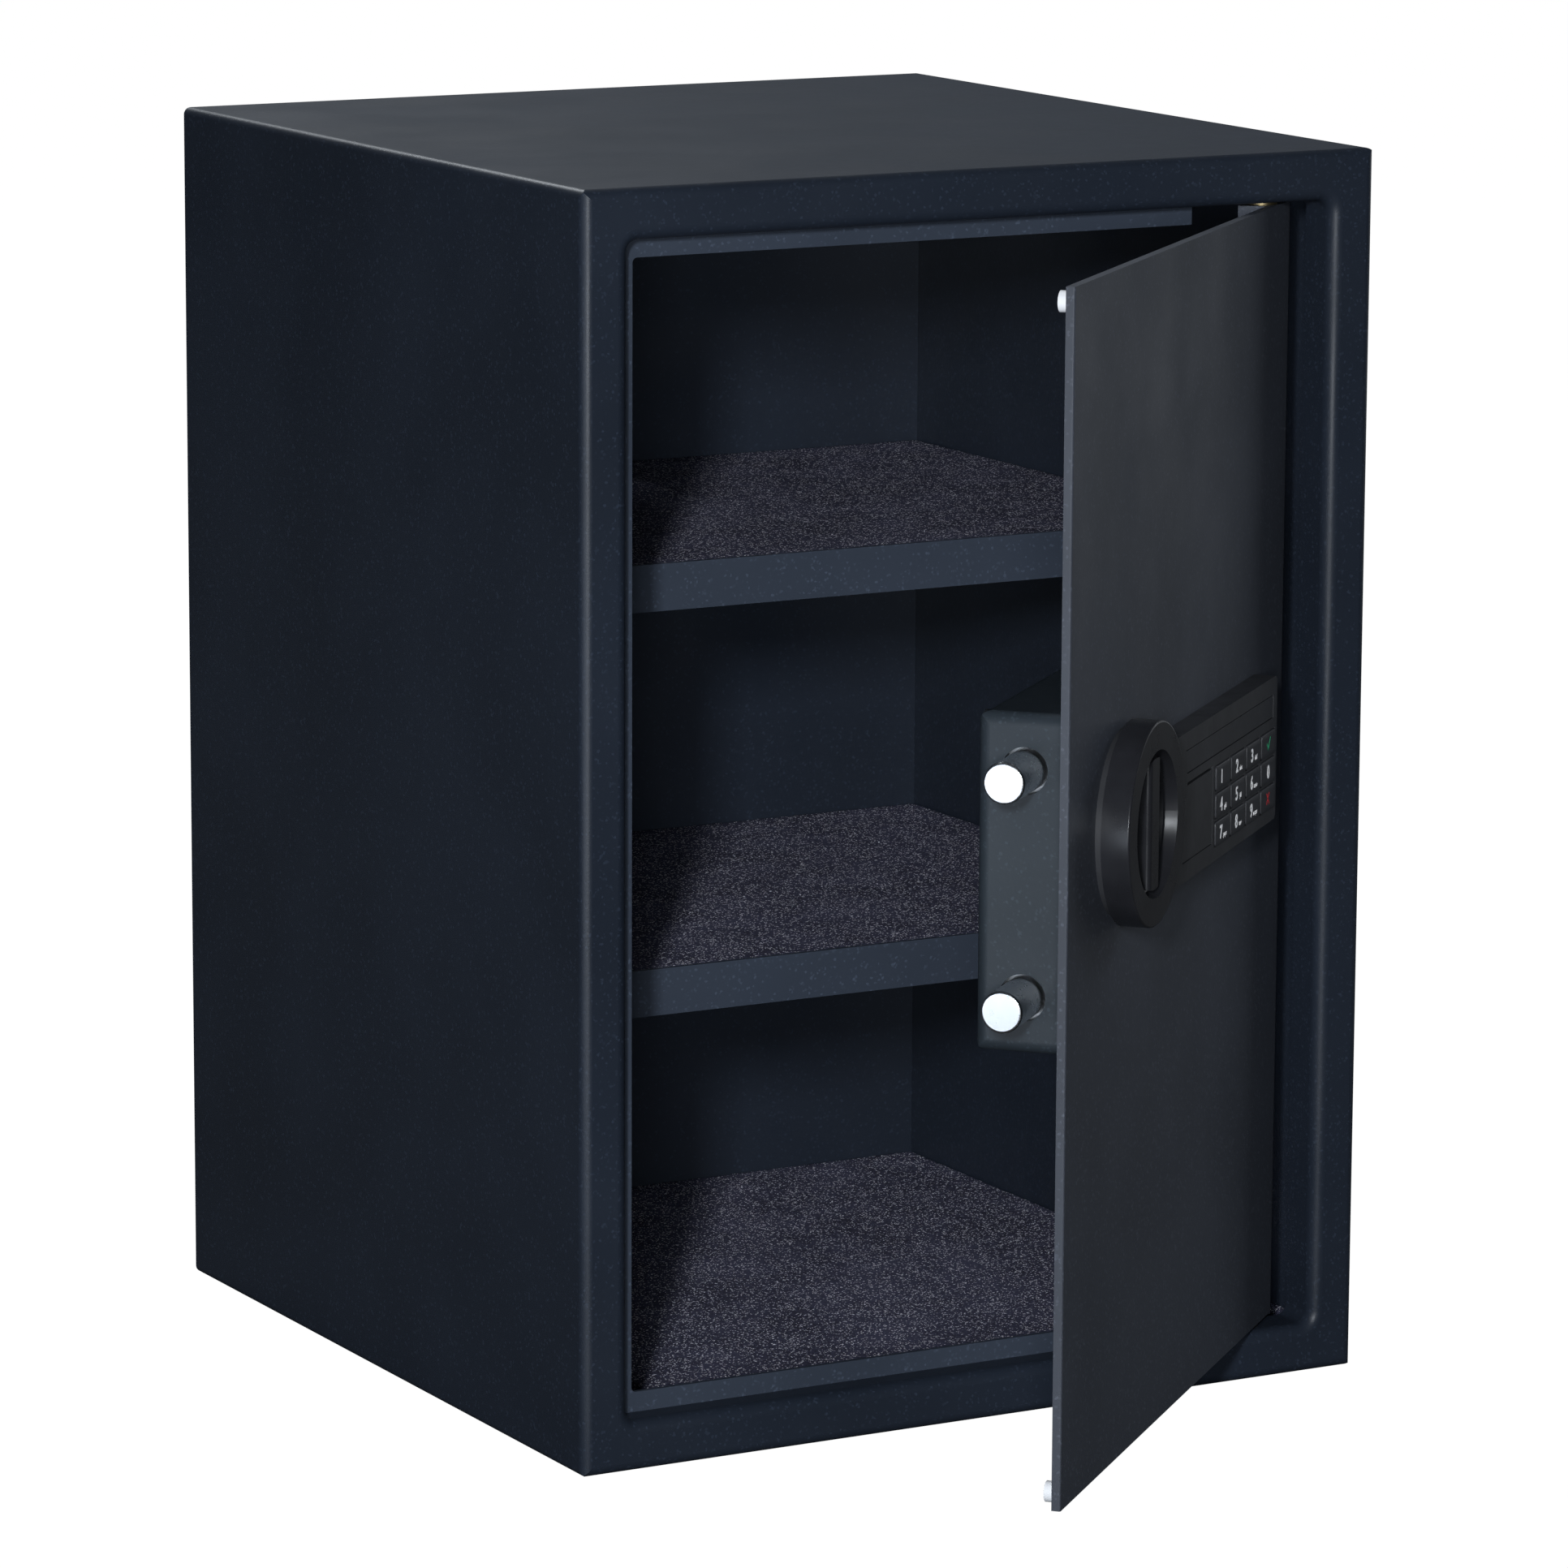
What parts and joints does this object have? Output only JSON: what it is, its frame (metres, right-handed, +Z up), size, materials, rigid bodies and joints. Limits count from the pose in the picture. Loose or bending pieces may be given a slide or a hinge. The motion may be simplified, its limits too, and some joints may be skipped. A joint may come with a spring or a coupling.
{
  "type": "in room safe",
  "caption": "Upright steel hotel-room safe with carpeted shelves inside, its keypad door standing ajar and its round locking bolts drawn back.",
  "frame": {"origin": "centre of the cabinet's base, midway between the four floor anchor holes", "axes": "+Z up; the door faces -Y; +X to the right of someone who faces the door, which is the hinge side"},
  "size_m": [0.355, 0.5464, 0.5],
  "materials": {
    "body_paint": "fine-textured blue-black powder coat",
    "inner_paint": "fine-textured blue-black powder coat",
    "door_paint": "fine-textured charcoal powder coat",
    "case_paint": "fine-textured charcoal powder coat",
    "carpet": "short black needle-felt carpet with bright fibres",
    "zinc": "zinc-plated steel",
    "brass": "turned brass",
    "rubber": "translucent grey rubber",
    "coil": "blue coil former and tape",
    "black_plastic": "fine-grained black plastic",
    "cell": "shrink-wrapped battery cell",
    "pad_plastic": "satin black moulded plastic",
    "knob_plastic": "satin black moulded plastic",
    "key_plastic": "satin black keys with printed numbers",
    "gloss_window": "smoked gloss window",
    "board": "green circuit board",
    "chrome": "polished chrome",
    "red_plastic": "red moulded plastic"
  },
  "bodies": {
    "cabinet": {"body_shell": "body_paint", "back_panel": "body_paint", "front_frame": "body_paint", "stop_lip": "inner_paint", "bolt_keeper": "inner_paint", "floor_pan": "inner_paint", "floor_mat": "carpet", "shelf_upper": "inner_paint", "shelf_upper_mat": "carpet", "shelf_lower": "inner_paint", "shelf_lower_mat": "carpet", "shelf_brackets_upper": "inner_paint", "shelf_brackets_lower": "inner_paint", "hinge_bracket_upper": "zinc", "hinge_bracket_lower": "zinc"},
    "door": {"door_plate": "door_paint", "hinge_knuckle_upper": "door_paint", "hinge_knuckle_lower": "door_paint", "hinge_pin_upper": "zinc", "hinge_pin_lower": "zinc", "hinge_washers": "brass", "door_bumpers": "rubber", "lock_case": "case_paint", "case_posts": "zinc", "case_screws": "zinc", "bolt_guide": "zinc", "solenoid_body": "coil", "battery_tray": "black_plastic", "batteries": "cell", "reset_switch": "black_plastic", "keypad_housing": "pad_plastic", "housing_screws": "zinc", "indicator_window": "gloss_window", "circuit_board": "board", "spindle_bush": "brass", "lock_barrel": "brass", "barrel_nut": "zinc"},
    "knob": {"knob": "knob_plastic", "knob_spindle": "zinc", "drive_cam": "zinc"},
    "bolts": {"locking_bolts": "chrome", "bolt_bar": "zinc"},
    "plunger": {"solenoid_plunger": "zinc"},
    "override_cover": {"override_cover": "pad_plastic"},
    "lock_plug": {"lock_plug": "chrome"},
    "battery_cover": {"battery_cover": "black_plastic"},
    "reset_button": {"reset_button": "red_plastic"},
    "key_1": {"key_1": "key_plastic"},
    "key_2": {"key_2": "key_plastic"},
    "key_3": {"key_3": "key_plastic"},
    "key_enter": {"key_enter": "key_plastic"},
    "key_4": {"key_4": "key_plastic"},
    "key_5": {"key_5": "key_plastic"},
    "key_6": {"key_6": "key_plastic"},
    "key_0": {"key_0": "key_plastic"},
    "key_7": {"key_7": "key_plastic"},
    "key_8": {"key_8": "key_plastic"},
    "key_9": {"key_9": "key_plastic"},
    "key_clear": {"key_clear": "key_plastic"}
  },
  "joints": [
    {"name": "door_swing", "type": "hinge", "parent": "cabinet", "child": "door", "pos_m": [0.1325, -0.167, 0.25], "axis": [0, 0, 1], "range_deg": [-42.5, 67.5]},
    {"name": "knob_turn", "type": "hinge", "parent": "door", "child": "knob", "pos_m": [-0.0133, -0.32909, 0.2695], "axis": [0.6756, -0.7373, 0], "range_deg": [0, 90]},
    {"name": "bolt_throw", "type": "slide", "parent": "door", "child": "bolts", "axis": [-0.7373, -0.6756, 0], "range_m": [0, 0.0161]},
    {"name": "plunger_travel", "type": "slide", "parent": "door", "child": "plunger", "axis": [-0.6756, 0.7373, 0], "range_m": [0, 0.0045]},
    {"name": "override_cover_pull", "type": "slide", "parent": "door", "child": "override_cover", "axis": [0.6756, -0.7373, 0], "range_m": [0, 0.03]},
    {"name": "lock_plug_turn", "type": "hinge", "parent": "door", "child": "lock_plug", "pos_m": [0.03988, -0.27019, 0.2584], "axis": [0.6756, -0.7373, 0], "range_deg": [0, 90]},
    {"name": "battery_cover_slide", "type": "slide", "parent": "door", "child": "battery_cover", "axis": [0.7373, 0.6756, 0], "range_m": [0, 0.062]},
    {"name": "reset_button_press", "type": "slide", "parent": "door", "child": "reset_button", "axis": [0.6756, -0.7373, 0], "range_m": [0, 0.0015], "stiffness_N_per_m": 150},
    {"name": "key_1_press", "type": "slide", "parent": "door", "child": "key_1", "axis": [-0.6756, 0.7373, 0], "range_m": [0, 0.001], "stiffness_N_per_m": 150},
    {"name": "key_2_press", "type": "slide", "parent": "door", "child": "key_2", "axis": [-0.6756, 0.7373, 0], "range_m": [0, 0.001], "stiffness_N_per_m": 150},
    {"name": "key_3_press", "type": "slide", "parent": "door", "child": "key_3", "axis": [-0.6756, 0.7373, 0], "range_m": [0, 0.001], "stiffness_N_per_m": 150},
    {"name": "key_enter_press", "type": "slide", "parent": "door", "child": "key_enter", "axis": [-0.6756, 0.7373, 0], "range_m": [0, 0.001], "stiffness_N_per_m": 150},
    {"name": "key_4_press", "type": "slide", "parent": "door", "child": "key_4", "axis": [-0.6756, 0.7373, 0], "range_m": [0, 0.001], "stiffness_N_per_m": 150},
    {"name": "key_5_press", "type": "slide", "parent": "door", "child": "key_5", "axis": [-0.6756, 0.7373, 0], "range_m": [0, 0.001], "stiffness_N_per_m": 150},
    {"name": "key_6_press", "type": "slide", "parent": "door", "child": "key_6", "axis": [-0.6756, 0.7373, 0], "range_m": [0, 0.001], "stiffness_N_per_m": 150},
    {"name": "key_0_press", "type": "slide", "parent": "door", "child": "key_0", "axis": [-0.6756, 0.7373, 0], "range_m": [0, 0.001], "stiffness_N_per_m": 150},
    {"name": "key_7_press", "type": "slide", "parent": "door", "child": "key_7", "axis": [-0.6756, 0.7373, 0], "range_m": [0, 0.001], "stiffness_N_per_m": 150},
    {"name": "key_8_press", "type": "slide", "parent": "door", "child": "key_8", "axis": [-0.6756, 0.7373, 0], "range_m": [0, 0.001], "stiffness_N_per_m": 150},
    {"name": "key_9_press", "type": "slide", "parent": "door", "child": "key_9", "axis": [-0.6756, 0.7373, 0], "range_m": [0, 0.001], "stiffness_N_per_m": 150},
    {"name": "key_clear_press", "type": "slide", "parent": "door", "child": "key_clear", "axis": [-0.6756, 0.7373, 0], "range_m": [0, 0.001], "stiffness_N_per_m": 150}
  ],
  "couplings": [
    {"joint": "bolt_throw", "follows": "knob_turn", "m_per_rad": 0.010186}
  ]
}
